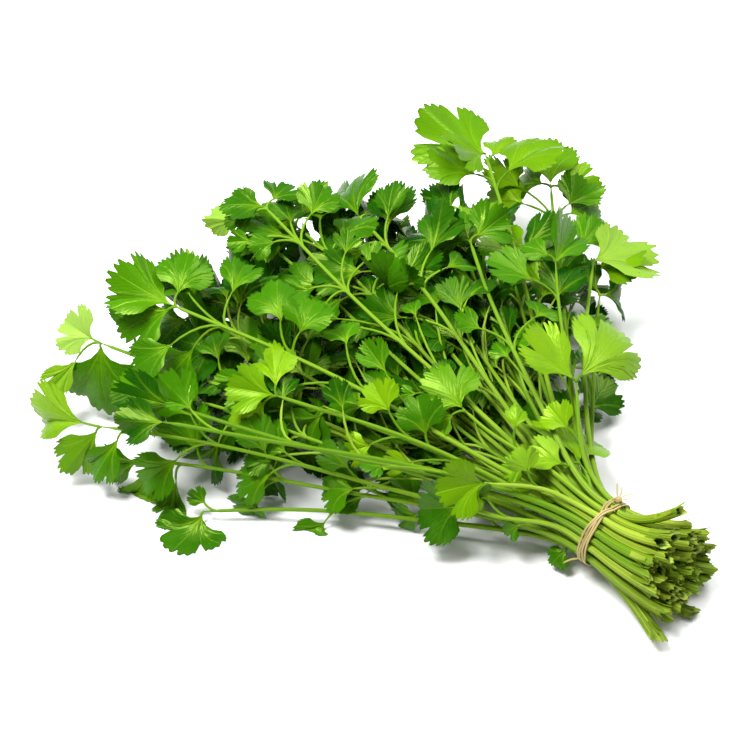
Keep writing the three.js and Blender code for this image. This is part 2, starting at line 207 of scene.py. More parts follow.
# the leaves of a sprig: share of the stalk's length, heading in degrees, own stalk in mm, size, and
# optionally how much wider its fan and how much lighter it is
USUAL = (1, 0)               # these two, where they are left out
LEAVES = {
    "broad": ((1.0, 0, 0, 1.0, 1.3),),
    "wide": (
        (1.0, 0, 0, 1.0, 1.1), (1.0, 58, 1, 0.75, 1.1), (0.97, -50, 5, 0.5), (0.9, 45, 8, 0.6),
        (0.88, -55, 10, 0.7),
        (0.7, 45, 20, 0.6), (0.5, -30, 20, 0.4),
    ),
    "low": ((1.0, 0, 0, 1.0, 1.2), (0.96, 60, 5, 0.7), (0.6, -50, 12, 0.6), (0.45, 35, 9, 0.5)),
    "fork": ((1.0, 30, 2, 0.85, 0.9), (1.0, -40, 4, 1.25, 0.75), (0.6, 30, 15, 0.4)),
    "two": ((1.0, 46, 3, 0.95), (1.0, -46, 3, 1.0), (0.6, 30, 15, 0.5)),
    "crook": (
        (1.0, -12, 4, 0.75, 1.1, 1.1), (1.0, 108, 1, 1.35), (1.0, 66, 14, 0.75, 0.6, 0.7),
        (0.90, -60, 10, 0.8),
        (0.80, 60, 14, 0.8), (0.72, -50, 18, 0.8), (0.60, 45, 20, 0.7), (0.55, -30, 25, 0.65),
    ),
    "hand": (
        (1.0, -14, 7, 1.15, 0.6, 0.5), (1.0, 56, 2, 1.05, 0.9, 0.2), (0.95, 75, 6, 1.0, 0.6),
        (0.88, -62, 12, 0.9),
        (0.78, 55, 18, 1.0, 0.8), (0.76, -50, 14, 0.9), (0.60, 40, 20, 0.8), (0.58, -30, 18, 0.7),
        (0.40, 20, 25, 0.6),
    ),
    "hang": (
        (1.0, 90, 2, 1.4, 0.65, 0.1), (1.0, 20, 4, 0.9, 0.8), (0.92, 80, 8, 1.1, 0.6), (0.86, -50, 12, 0.9),
        (0.70, 60, 15, 0.8), (0.68, -50, 18, 0.8), (0.50, 40, 20, 0.7), (0.45, -30, 25, 0.65),
        (0.33, 40, 20, 0.6),
    ),
    "pale": (
        (1.0, 12, 1, 0.9, 1.2), (0.93, 50, 10, 1.1, 1, -0.9), (0.91, -50, 10, 1.1, 1, -1),
        (0.75, 45, 18, 1.1, 1, -1),
        (0.70, -45, 18, 1.1, 1, -1.1), (0.55, 20, 20, 0.9, 1, -1.1),
    ),
    "under": (
        (1.0, 48, 2, 1.2, 1.25), (0.97, -50, 6, 0.6), (0.42, -30, 10, 0.8), (0.25, -40, 12, 0.8),
        (0.06, 70, 3, 0.5),
    ),
    "pair": ((1.0, 0, 0, 1.1, 0.85), (1.0, 75, 4, 0.6), (0.85, 60, 12, 0.8), (0.6, 40, 20, 0.7)),
    "three": (
        (1.0, 0, 0, 1.0), (0.985, 58, 5, 0.9), (0.985, -58, 5, 0.9),
        (0.60, 40, 20, 0.7), (0.58, -40, 18, 0.65), (0.40, 20, 25, 0.55),
    ),
    "all": (
        (1.0, 0, 0, 1.0), (0.985, 58, 5, 0.9), (0.985, -58, 5, 0.9),
        (0.87, 62, 14, 0.85), (0.87, 35, 20, 0.7), (0.86, -62, 14, 0.85), (0.86, -35, 20, 0.7),
        (0.72, 52, 22, 0.75), (0.72, 80, 15, 0.7), (0.71, -52, 22, 0.75), (0.71, -80, 15, 0.7),
        (0.55, 30, 32, 0.65), (0.53, -40, 28, 0.6), (0.38, -22, 40, 0.6), (0.36, 35, 30, 0.55),
    ),
}


def chance(sprig, feature):
    """A repeatable number from 0 to 1 for a sprig and one of its features, which are just numbered: the
    fraction of a large sine."""
    value = math.sin(sprig * 12.9898 + feature * 78.233) * 43758.5453
    return value - math.floor(value)


def fanned(distance):
    """A stalk's sideways travel: the root of distance squared and bend squared, less the bend."""
    beyond = np.maximum(0, distance - GRIPPED)
    return np.sqrt(beyond * beyond + FAN_BEND * FAN_BEND) - FAN_BEND


class Sprig:
    """Where one sprig goes: its direction follows its place under the tie, unless it is listed."""

    def __init__(self, number, row, place, y):
        above = row / ROWS_EACH_WAY
        aside = y / (ROWS_EACH_WAY * STALK_PITCH)
        self.number = number
        self.node = f"sprig_{number:02d}"
        self.start = (y, AXIS_HEIGHT + row * STALK_PITCH * math.sqrt(3) / 2)
        self.butt = BUTT_LENGTH + BUTT_STAGGER * chance(number, 6) - BUTT_SLANT * above - BUTT_SKEW * aside
        self.by_hand = (row, place) in PLACED
        if self.by_hand:
            self.lie_by_hand(*PLACED[row, place])
        else:
            self.lie_in_fan(number, above, aside * (1 + FAN_FLARE * above * above))

    def lie_by_hand(self, tip, bend, nod, turn, heading, size, stray, leaves, tint):
        """The slopes are those that bring the tip to its place."""
        self.length, self.bend, self.nod = -tip[0] * MM, bend * MM, nod * MM
        self.turn, self.heading, self.size = math.radians(turn), math.radians(heading), size
        self.stray = (stray[0] * MM, stray[1] * MM)
        self.leaves, self.tint = LEAVES[leaves], tint
        grown = fanned(self.length)
        self.slope_y = (tip[1] * MM - self.bend - self.start[0]) / grown
        self.slope_z = (tip[2] * MM + self.nod - self.start[1]) / grown

    def lie_in_fan(self, number, above, across):
        """The slopes follow from the sprig's share of the fan's swing and of the crown's height, which
        falls off with the square of the share across."""
        swing = FAN_MIDDLE + FAN_SWING * across
        reach = (REACH - REACH_FALL * (across + REACH_LEAN) ** 2) * math.cos(swing)
        height = CROWN_LOW + CROWN_RISE * (1 + above) - CROWN_FALL * across * across
        short = LONG[0] + LONG[1] * chance(number, 4)
        if chance(number, 2) < SHORT_ONES:
            short = SHORT[0] + SHORT[1] * chance(number, 3)
        self.length = reach * short
        self.bend = MOST_BEND * (chance(number, 7) - 0.5) * short
        self.nod = MOST_NOD * chance(number, 8) * short
        self.turn = MOST_TURN * (chance(number, 9) - 0.5)
        self.heading = MOST_HEADING * (chance(number, 12) - 0.5)
        self.size = SIZES[0] + SIZES[1] * chance(number, 10)
        self.stray = (0, 0)
        self.leaves = LEAVES["all" if self.length > FULL_FROM else "three"]
        # their own deep green, darkened further as painted shade, since the fan's sprigs fill the inside of
        # the crown
        self.tint = MOST_TINT * chance(number, 14) ** TINT_POWER
        self.slope_y = math.tan(swing) + UNEVEN * (chance(number, 1) - 0.5)
        self.slope_z = (height - self.start[1]) / fanned(reach) + UNEVEN * (chance(number, 5) - 0.5)

    def line(self, distance):
        """Points on the stalk's middle line, at distances from the tie that are negative towards the cut
        end. Beyond the tie it travels sideways by its slope, bends with the square of the distance, nods
        with its fourth power and wanders a little; before it the bundle spreads out."""
        distance = np.atleast_1d(np.asarray(distance, float))
        y, z = self.start
        along = np.maximum(0, distance) / self.length
        phase = ANY_PHASE * chance(self.number, 13)
        wander = WANDER * along * (1 - 0.5 * along) * np.sin(WAVES * along + phase)
        out_y = y + self.slope_y * fanned(distance) + self.bend * along**2 + wander
        out_z = z + self.slope_z * fanned(distance) - self.nod * along**4 + wander * 0.6
        away = np.maximum(0, -distance - GRIPPED) / BUTT_LENGTH
        jostle = BUTT_JOSTLE * np.array([chance(self.number, 15) - 0.5, chance(self.number, 16) - 0.5])
        sway = BUTT_SWAY + self.stray[0]
        rise = BUTT_TOP_RISE if z > AXIS_HEIGHT else BUTT_RISE
        butt_y = y * (1 + BUTT_SPREAD * away**BUTT_FLARE) + sway * away**2 + jostle[0] * away
        butt_z = (z - AXIS_HEIGHT) * (1 + rise * away**BUTT_FLARE)
        butt_z = butt_z + self.stray[1] * away**2 + jostle[1] * away
        leafy = distance > 0
        points = np.stack([
            -distance,
            np.where(leafy, out_y, butt_y),
            np.maximum(np.where(leafy, out_z, butt_z + AXIS_HEIGHT), LOWEST),
        ], axis=1)
        return points + FOOT


# the middle row and the outermost ones lack their end places, so the bundle is round
sprigs = []
for row in range(-ROWS_EACH_WAY, ROWS_EACH_WAY + 1):
    full = 2 * ROWS_EACH_WAY + 1 - abs(row)
    trimmed = 1 if row in (-ROWS_EACH_WAY, 0, ROWS_EACH_WAY) else 0
    for place in range(trimmed, full - trimmed):
        y = (place - (full - 1) / 2) * STALK_PITCH
        sprigs.append(Sprig(len(sprigs) + 1, row, place - trimmed, y))


def adder(tree):
    """A function that adds a node to a tree, with its own settings, and values or sockets as its inputs."""
    def add(kind, inputs=(), **settings):
        node = tree.nodes.new(kind)
        for key, value in settings.items():
            setattr(node, key, value)
        for socket, value in dict(inputs).items():
            if isinstance(value, bpy.types.NodeSocket):
                tree.links.new(value, node.inputs[socket])
            else:
                node.inputs[socket].default_value = value
        return node

    return add


def new_material(name):
    """A material, its node tree, the function that adds nodes to it, and its shader."""
    material = bpy.data.materials.new(name)
    material.use_nodes = True
    tree = material.node_tree
    return material, tree, adder(tree), tree.nodes["Principled BSDF"]


def math_node(add, operation, *values):
    return add("ShaderNodeMath", dict(enumerate(values)), operation=operation).outputs[0]


def ramp_node(add, value, low, high, to_low=0.0, to_high=1.0):
    """A smooth step of the value from one number to another."""
    node = add(
        "ShaderNodeMapRange",
        {"Value": value, "From Min": low, "From Max": high, "To Min": to_low, "To Max": to_high},
        interpolation_type="SMOOTHSTEP",
    )
    return node.outputs["Result"]


def blend_node(add, factor, first, second):
    """A colour that goes from the first to the second with the factor."""
    node = add("ShaderNodeMix", data_type="RGBA")
    sockets = {s.identifier: s for s in node.inputs}
    tree = node.id_data
    for key, value in (("Factor_Float", factor), ("A_Color", first), ("B_Color", second)):
        if isinstance(value, bpy.types.NodeSocket):
            tree.links.new(value, sockets[key])
        else:
            sockets[key].default_value = value
    return [s for s in node.outputs if s.identifier == "Result_Color"][0]


def parts_of(add, attribute):
    """The three numbers that an attribute holds at each point."""
    vector = add("ShaderNodeAttribute", attribute_name=attribute).outputs["Vector"]
    return add("ShaderNodeSeparateXYZ", {"Vector": vector}).outputs


# The grain of plant fibre, for leaves, stalks and raffia alike: noise from 0 to 1 with so many grains to
# a metre each way, so that it makes mottling where they are equal and streaks where they aren't.
grain = bpy.data.node_groups.new("plant_grain", "ShaderNodeTree")
for name, way, kind in (
    ("Place", "INPUT", "NodeSocketVector"),
    ("Grains", "INPUT", "NodeSocketVector"),
    ("Detail", "INPUT", "NodeSocketFloat"),
    ("Grain", "OUTPUT", "NodeSocketFloat"),
):
    grain.interface.new_socket(name, in_out=way, socket_type=kind)
add = adder(grain)
given = add("NodeGroupInput").outputs
spread = add("ShaderNodeMapping", {"Vector": given["Place"], "Scale": given["Grains"]}).outputs[0]
noise = add("ShaderNodeTexNoise", {"Vector": spread, "Scale": 1.0, "Detail": given["Detail"]})
add("NodeGroupOutput", {"Grain": noise.outputs["Fac"]})


def grain_node(add, place, grains, detail):
    node = add("ShaderNodeGroup", {"Place": place, "Grains": grains, "Detail": detail}, node_tree=grain)
    return node.outputs["Grain"]


# A leaf blade is satin, darker above than below. Its paler veins fan out from its foot, with side veins
# off the midrib of each lobe, and light shines through it.
LEAF_DEEP = (0.003, 0.068, 0.001, 1)
LEAF_FRESH = (0.050, 0.205, 0.001, 1)
LEAF_YOUNG = (0.205, 0.410, 0.003, 1)
LEAF_UNDER = (0.110, 0.330, 0.010, 1)
LEAF_VEIN = (0.340, 0.580, 0.020, 1)
LEAF_PALE = (0.460, 0.680, 0.140, 1)
LEAF_BACKLIT = (0.110, 0.420, 0.001, 1)
LEAF_SHEEN = (0.72, 1.0, 0.16, 1)
LEAF_GLOSS = 0.45
LEAF_SMOOTHEST = 0.22
LEAF_ROUGHEST = 0.36
LEAF_THROUGH = 0.3           # the share of light that goes through it
MOTTLES = (140, 140, 140)    # to a metre
PORES = (1500, 1500, 1500)
VEIN_SPACING = 0.0028        # between side veins, along the midrib of a lobe
VEIN_SLANT = 1.8             # how far a side vein runs outward for each step aside
VEIN_SHOWS = 0.24
UNDER_SHOWS = 0.6
MOTTLE_SHOWS = 0.3
RIM_SHOWS = 0.3
RELIEF_STRENGTH = 0.5
RELIEF_DEPTH = 0.0003

leaf_skin, tree, add, shader = new_material("coriander_leaf")
aside, outward, margin = parts_of(add, "blade")
tint, under, pale = parts_of(add, "tone")
where = add("ShaderNodeTexCoord").outputs["Object"]
mottle = grain_node(add, where, MOTTLES, 3.0)
pores = grain_node(add, where, PORES, 2.0)

away = math_node(add, "ABSOLUTE", aside)
midrib = ramp_node(add, away, 0.00012, 0.0004, 1.0, 0.0)
course = math_node(add, "SUBTRACT", outward, math_node(add, "MULTIPLY", away, VEIN_SLANT))
course = math_node(add, "DIVIDE", course, VEIN_SPACING)
ripple = math_node(add, "MULTIPLY", math_node(add, "SUBTRACT", mottle, 0.5), 0.5)
course = math_node(add, "ADD", course, ripple)
nearest = math_node(add, "ROUND", course)
from_vein = math_node(add, "ABSOLUTE", math_node(add, "SUBTRACT", course, nearest))
side_veins = ramp_node(add, from_vein, 0.03, 0.13, 1.0, 0.0)
side_veins = math_node(add, "MULTIPLY", side_veins, ramp_node(add, margin, 0.12, 0.35, 0.0, 0.35))
veins = math_node(add, "MAXIMUM", midrib, side_veins)
veins = math_node(add, "MULTIPLY", veins, ramp_node(add, margin, 0.3, 1.0, 1.0, 0.35))

colour = blend_node(add, ramp_node(add, tint, 0.0, 0.6), LEAF_DEEP, LEAF_FRESH)
colour = blend_node(add, ramp_node(add, tint, 0.6, 1.0), colour, LEAF_YOUNG)
colour = blend_node(add, ramp_node(add, mottle, 0.35, 0.75, 0.0, MOTTLE_SHOWS), colour, LEAF_FRESH)
colour = blend_node(add, math_node(add, "MULTIPLY", under, UNDER_SHOWS), colour, LEAF_UNDER)
colour = blend_node(add, math_node(add, "MULTIPLY", veins, VEIN_SHOWS), colour, LEAF_VEIN)
near_foot = ramp_node(add, margin, 0.0, 0.6, 0.55, 0.0)
near_foot = math_node(add, "MULTIPLY", near_foot, ramp_node(add, mottle, 0.3, 0.6))
colour = blend_node(add, near_foot, colour, LEAF_YOUNG)
colour = blend_node(add, pale, colour, LEAF_PALE)
colour = blend_node(add, ramp_node(add, margin, 0.955, 1.0, 0.0, RIM_SHOWS), colour, LEAF_DEEP)

relief = math_node(add, "SUBTRACT", math_node(add, "MULTIPLY", from_vein, 0.5), midrib)
relief = math_node(add, "ADD", relief, math_node(add, "MULTIPLY", pores, 0.25))
bump = add("ShaderNodeBump", {"Height": relief, "Strength": RELIEF_STRENGTH, "Distance": RELIEF_DEPTH})
tree.links.new(colour, shader.inputs["Base Color"])
tree.links.new(bump.outputs["Normal"], shader.inputs["Normal"])
roughness = ramp_node(add, mottle, 0.3, 0.7, LEAF_SMOOTHEST, LEAF_ROUGHEST)
tree.links.new(roughness, shader.inputs["Roughness"])
shader.inputs["Specular IOR Level"].default_value = LEAF_GLOSS
shader.inputs["Specular Tint"].default_value = LEAF_SHEEN
glow = add("ShaderNodeBsdfTranslucent", {"Color": blend_node(add, 0.5, colour, LEAF_BACKLIT)})
through = add("ShaderNodeMixShader", {"Fac": LEAF_THROUGH, 1: shader.outputs[0], 2: glow.outputs[0]})
tree.links.new(through.outputs[0], tree.nodes["Material Output"].inputs["Surface"])

# A stalk is ribbed and streaked along its length, yellow-green at the butt and greener to the tip. Its
# cut end is weathered and bruised outside and pale inside, and the hollow below the rim is painted dark as
# shade.
STALK_BUTT = (0.250, 0.310, 0.016, 1)
STALK_MIDDLE = (0.190, 0.345, 0.014, 1)
STALK_TIP = (0.150, 0.330, 0.010, 1)
# painted shade: the dark green that a stalk's tone takes it to
STALK_PAINTED_SHADE = (0.070, 0.190, 0.002, 1)
STALK_PALE = (0.400, 0.540, 0.060, 1)
STALK_WEATHERED = (0.140, 0.220, 0.012, 1)
STALK_BRUISE = (0.160, 0.130, 0.020, 1)
STALK_CUT = (0.330, 0.420, 0.060, 1)
# painted shade: the dark inside the hollow of the cut end
STALK_HOLLOW_PAINTED_SHADE = (0.025, 0.080, 0.004, 1)
STALK_SHEEN = (0.80, 1.0, 0.25, 1)
STALK_GLOSS = 0.35
STALK_ROUGH = 0.36
STALK_THROUGH = 0.12
STREAKS = (25, 420, 420)     # to a metre: the stalks lie along X
BLOTCHES = (300, 300, 300)
RIBS = 12
RIB_STRENGTH = 0.4
RIB_DEPTH = 0.0002

stalk_skin, tree, add, shader = new_material("coriander_stalk")
around, along, inside = parts_of(add, "blade")
tint = parts_of(add, "tone")[0]
where = add("ShaderNodeTexCoord").outputs["Object"]
streaks = grain_node(add, where, STREAKS, 2.0)
blotches = grain_node(add, where, BLOTCHES, 2.0)
ribs = math_node(add, "COSINE", math_node(add, "MULTIPLY", around, RIBS))
colour = blend_node(add, ramp_node(add, along, -0.25, 0.2), STALK_BUTT, STALK_MIDDLE)
colour = blend_node(add, ramp_node(add, along, 0.25, 1.0), colour, STALK_TIP)
colour = blend_node(add, ramp_node(add, streaks, 0.4, 0.7, 0.0, 0.55), colour, STALK_TIP)
colour = blend_node(add, ramp_node(add, ribs, 0.2, 1.0, 0.0, 0.28), colour, STALK_BUTT)
# painted shade: a higher tone darkens the stalk, standing for the shade among the fanned stalks
colour = blend_node(add, ramp_node(add, tint, 0.25, 0.9, 0.0, 0.75), colour, STALK_PAINTED_SHADE)
colour = blend_node(add, ramp_node(add, tint, 0.0, 0.3, 0.45, 0.0), colour, STALK_PALE)
weathered = ramp_node(add, along, -0.13, -0.23, 0.0, 0.75)
weathered = math_node(add, "MULTIPLY", weathered, ramp_node(add, blotches, 0.3, 0.6, 0.5, 1.0))
colour = blend_node(add, weathered, colour, STALK_WEATHERED)
colour = blend_node(add, ramp_node(add, inside, 0.05, 0.3), colour, STALK_CUT)
# painted shade: the rings down inside the hollow are made dark
colour = blend_node(add, ramp_node(add, inside, 0.55, 0.8), colour, STALK_HOLLOW_PAINTED_SHADE)
bruised = ramp_node(add, blotches, 0.58, 0.7)
bruised = math_node(add, "MULTIPLY", bruised, ramp_node(add, along, -0.3, -0.18, 0.5, 0.0))
colour = blend_node(add, bruised, colour, STALK_BRUISE)
relief = math_node(add, "ADD", ribs, streaks)
bump = add("ShaderNodeBump", {"Height": relief, "Strength": RIB_STRENGTH, "Distance": RIB_DEPTH})
tree.links.new(colour, shader.inputs["Base Color"])
tree.links.new(bump.outputs["Normal"], shader.inputs["Normal"])
shader.inputs["Roughness"].default_value = STALK_ROUGH
shader.inputs["Specular IOR Level"].default_value = STALK_GLOSS
shader.inputs["Specular Tint"].default_value = STALK_SHEEN
glow = add("ShaderNodeBsdfTranslucent", {"Color": colour})
through = add("ShaderNodeMixShader", {"Fac": STALK_THROUGH, 1: shader.outputs[0], 2: glow.outputs[0]})
tree.links.new(through.outputs[0], tree.nodes["Material Output"].inputs["Surface"])


LEAF_SKIN, STALK_SKIN = 0, 1 # the order of a sprig's materials
SHARP = math.radians(62)     # edges that fold more than this aren't shaded smooth


class Soup:
    """Collects the grids of one piece: points, faces, the material of each face, and two vectors a point."""

    def __init__(self):
        self.points, self.faces, self.skins, self.blade, self.tone = [], [], [], [], []
        self.count = 0

    def add(self, points, faces, skin, blade, tone, caps=()):
        self.points.append(points)
        self.faces += (faces + self.count).tolist() + [(cap + self.count).tolist() for cap in caps]
        self.skins += [skin] * (len(faces) + len(caps))
        self.blade.append(blade)
        self.tone.append(tone)
        self.count += len(points)

    def mesh(self, name, skins):
        mesh = bpy.data.meshes.new(name)
        mesh.from_pydata(np.concatenate(self.points), [], self.faces)
        for skin in skins:
            mesh.materials.append(skin)
        mesh.polygons.foreach_set("material_index", self.skins)
        for label, rows in (("blade", self.blade), ("tone", self.tone)):
            layer = mesh.attributes.new(label, "FLOAT_VECTOR", "POINT")
            layer.data.foreach_set("vector", np.concatenate(rows).astype(np.float32).ravel())
        mesh.shade_smooth()
        mesh.set_sharp_from_angle(angle=SHARP)
        return mesh


def unit(vector):
    return vector / np.linalg.norm(vector, axis=-1, keepdims=True)


def strip_faces(rows, columns, closed):
    """Quads over a grid of rows by columns, with the last column joined to the first if it is closed."""
    last = columns if closed else columns - 1
    row, column = np.meshgrid(np.arange(rows - 1), np.arange(last), indexing="ij")
    here = row * columns + column
    beside = row * columns + (column + 1) % columns
    return np.stack([here, beside, beside + columns, here + columns], axis=-1).reshape(-1, 4)


def tube(soup, path, ahead, over, wide, thick, along, inside, tint, skin, ragged=0):
    """A closed tube of rings across the path. Each ring's points stand aside by the cosine of their turn
    times the half width and over by its sine times the half thickness; widths may be given ring by ring
    and point by point. A ragged end shifts the points along the path."""
    sides = wide.shape[1]
    turn = np.linspace(0, 2 * math.pi, sides, endpoint=False)
    aside = unit(np.cross(ahead, over))
    over = np.cross(aside, ahead)
    points = (
        path[:, None, :]
        + (wide * np.cos(turn))[..., None] * aside[:, None, :]
        + (thick * np.sin(turn))[..., None] * over[:, None, :]
    )
    if np.ndim(ragged):
        points = points + ragged[..., None] * ahead[:, None, :]
    blade = np.zeros_like(points)
    blade[..., 0] = math.pi - abs(turn - math.pi)
    blade[..., 1] = along[:, None]
    blade[..., 2] = inside[:, None]
    tone = np.zeros_like(points)
    tone[..., 0] = tint
    ring = np.arange(sides)
    soup.add(
        points.reshape(-1, 3), strip_faces(len(path), sides, True)[:, ::-1], skin, blade.reshape(-1, 3),
        tone.reshape(-1, 3), [ring, (len(path) - 1) * sides + ring[::-1]],
    )


# A leaflet. Lengths across and out of it are shares of its size, which is its length; places along its
# margin go from -1 at one side to 1 at the other. A pair of values is the least and the most by chance.
LEAF_LENGTH = 0.0265
BLADE_THICK = 0.00026
TEETH = 24
COLUMNS = 3 * TEETH + 1
TOOTH = np.array([0.0, 0.9, 1.0])    # how far out a tooth's three points stand, notch first
TOOTH_DEEP = (0.055, 0.09)
BLADE_ROWS = np.array([0.02, 0.22, 0.48, 0.75, 1.0])
CROWDING = 0.93              # how much closer the columns are at the two sides
FOOT_SHARE = 0.3             # how wide the fan is at its foot, as a share of its full angle
CLEFT_AT = (0.30, 0.44)      # the two clefts between the three lobes
CLEFT_DEEP = (0.08, 0.5)
CLEFT_UNLIKE = (0.6, 1.2)
CLEFT_OPEN = 0.055
NICK_OPEN = 0.035            # the smaller nicks in the middle of the lobes
NICK_OFF = 0.15
MIDDLE_NICK = (0.0, 0.16)
SIDE_NICK = (0.04, 0.2)
SIDE_NICK_OUT = 0.05
SIDES_FALL = 0.26            # how much shorter the fan is at its sides, with the square of the place
SIDES_END = 0.22             # the same, with its sixth power
LOBE_ROUND = 0.10
LIFT = 0.22
RUFFLE = (0.015, 0.05)
RUFFLES = (6, 10)
DROOP = (-0.4, 0.95)
FOLD = (-0.05, 0.25)
CURL = (0.1, 1.7)
CURL_WAYS = (1, 1, 1, -0.4)  # one in four curls up instead of down
TWIST = 0.5
TABLE_CLEAR = 0.0008         # how high above the table its foot is at least


def leaflet(base, forward, normal, size, half_span, draw, calm):
    """The middle surface of a leaflet, and its coordinates. It is a fan of columns from its foot. Their
    length falls off towards both sides, is rounded lobe by lobe, notched by clefts and serrated. The fan
    is then lifted lobe by lobe, ruffled at its margin, drooped aside, curled forward and twisted."""
    column = np.arange(COLUMNS)
    quarter = math.pi / 2 * CROWDING
    share = np.sin(np.linspace(-1, 1, COLUMNS) * quarter) / math.sin(quarter)
    left, right = -draw.uniform(*CLEFT_AT), draw.uniform(*CLEFT_AT)
    middle = (left + right) / 2
    in_left, in_right = share < left, share > right
    centre = np.where(in_left, (left - 1) / 2, np.where(in_right, (right + 1) / 2, middle))
    width = np.where(in_left, (left + 1) / 2, np.where(in_right, (1 - right) / 2, (right - left) / 2))
    from_centre = np.clip(abs(share - centre) / width, 0, 1)
    reach = 1 - SIDES_FALL * share**2 - SIDES_END * abs(share) ** 6
    reach *= 1 - LOBE_ROUND * from_centre**2.5
    deep = draw.uniform(*CLEFT_DEEP)
    notches = (
        (left, deep * draw.uniform(*CLEFT_UNLIKE), CLEFT_OPEN),
        (right, deep * draw.uniform(*CLEFT_UNLIKE), CLEFT_OPEN),
        (middle + draw.uniform(-NICK_OFF, NICK_OFF), draw.uniform(*MIDDLE_NICK), NICK_OPEN),
        ((left - 1) / 2 - SIDE_NICK_OUT, draw.uniform(*SIDE_NICK), NICK_OPEN),
        ((right + 1) / 2 + SIDE_NICK_OUT, draw.uniform(*SIDE_NICK), NICK_OPEN),
    )
    for place, depth, opening in notches:
        reach = reach * (1 - depth * np.clip(1 - abs(share - place) / opening, 0, 1) ** 0.7)
    reach = size * reach * (1 - draw.uniform(*TOOTH_DEEP) * (1 - TOOTH[column % 3]))

    rho = BLADE_ROWS[:, None]
    radius = rho * reach
    open_span = half_span * (FOOT_SHARE + (1 - FOOT_SHARE) * rho)
    angle = open_span * share
    x, y = radius * np.cos(angle), radius * np.sin(angle)
    edge = (radius / size) ** 2
    lifts = draw.normal(0, LIFT * calm, 5)
    z = np.interp(share, np.linspace(-1, 1, 5), lifts) * radius**2 / size
    height = draw.uniform(*RUFFLE) * size * edge
    z = z + height * np.sin(draw.uniform(*RUFFLES) * angle + draw.uniform(0, ANY_PHASE))
    z = z - draw.uniform(*DROOP) * calm * y * y / size
    z = z + draw.uniform(*FOLD) * abs(y)
    curl = draw.uniform(*CURL) * calm * draw.choice(CURL_WAYS) / size
    bent = curl * x
    x, z = np.sin(bent) / curl + z * np.sin(bent), z * np.cos(bent) - (1 - np.cos(bent)) / curl
    twist = draw.uniform(-TWIST, TWIST) * calm * x / size
    y, z = y * np.cos(twist) - z * np.sin(twist), y * np.sin(twist) + z * np.cos(twist)

    normal = unit(normal - forward * normal.dot(forward))
    across = np.cross(normal, forward)
    base = np.array([base[0], base[1], max(base[2], TABLE_CLEAR)])
    surface = base + x[..., None] * forward + y[..., None] * across + z[..., None] * normal
    in_lobe = open_span * (share - centre)
    blade = [radius * np.sin(in_lobe), radius * np.cos(in_lobe), rho + 0 * radius]
    return surface, np.stack(blade, axis=-1)


def close_leaflet(soup, middle, blade, tint, pale):
    """A thin closed shell round a leaflet's middle surface, whose two faces meet along the border."""
    upright = unit(np.cross(np.gradient(middle, axis=0), np.gradient(middle, axis=1)))
    rows = len(BLADE_ROWS)
    border = np.zeros((rows, COLUMNS), bool)
    border[[0, -1], :] = border[:, [0, -1]] = True
    thick = np.where(border, 0, BLADE_THICK / 2)[..., None]
    bottom = np.arange(rows * COLUMNS).reshape(rows, COLUMNS)
    bottom[~border] = rows * COLUMNS + np.arange((~border).sum())
    faces = strip_faces(rows, COLUMNS, False)
    tone = np.zeros_like(middle)
    tone[..., 0] = tint
    tone[..., 2] = pale
    under_tone = tone.copy()
    under_tone[..., 1] = 1
    soup.add(
        np.concatenate([(middle + thick * upright).reshape(-1, 3), (middle - thick * upright)[~border]]),
        np.concatenate([faces[:, ::-1], bottom.ravel()[faces]]),
        LEAF_SKIN,
        np.concatenate([blade.reshape(-1, 3), blade[~border]]),
        np.concatenate([tone.reshape(-1, 3), under_tone[~border]]),
    )


def coarse_tree(surface):
    """A search tree of a leaflet's middle surface, thinned out to a few dozen faces."""
    thin = surface[:, ::6]
    faces = strip_faces(*thin.shape[:2], False)
    return BVHTree.FromPolygons(thin.reshape(-1, 3).tolist(), faces.tolist())


def turned(vector, axis, angle):
    """A vector turned about a unit axis by Rodrigues' formula."""
    return (
        vector * math.cos(angle)
        + np.cross(axis, vector) * math.sin(angle)
        + axis * axis.dot(vector) * (1 - math.cos(angle))
    )


UPWARD = np.array([0.0, 0.0, 1.0])

STALK_SIDES = 16
TURN = np.linspace(0, 2 * math.pi, STALK_SIDES, endpoint=False)
GIRTH_AT = (0, 0.15, 0.45, 1)                # shares of the length
GIRTH = (0.00162, 0.00135, 0.00105, 0.00078)
GIRTH_UNLIKE = (0.88, 1.06)
BUTT_WIDER = (0.0007, 0.0016)
BUTT_THICKER = (0.0003, 0.0009)
GROOVE = (0.0, 0.35)
GROOVE_WIDE = 0.7            # radians
CORNERS = 0.05
TIP_TAPER = 0.005
TIP_GIRTH = 0.45
HOLLOW_AT = np.array([0.0085, 0.0070, 0.0020, 0.0003])       # from the cut end inward
HOLLOW_WIDE = (0.3, 0.65, 0.78, 0.84)
# how far in each ring is: the rim stays pale, and the rings below it get the painted shade of the hollow
HOLLOW_INSIDE = (1, 1, 0.9, 0.4)
SLANTED = 0.0028             # how far a cut end may slant
JAGS = (0.0008, 0.0005)      # how deep its coarse and its fine jags are
JAG_FADES = 0.008
BUTT_SHADE = 0.15            # the length of stalk over which the butt's colour would turn by 1


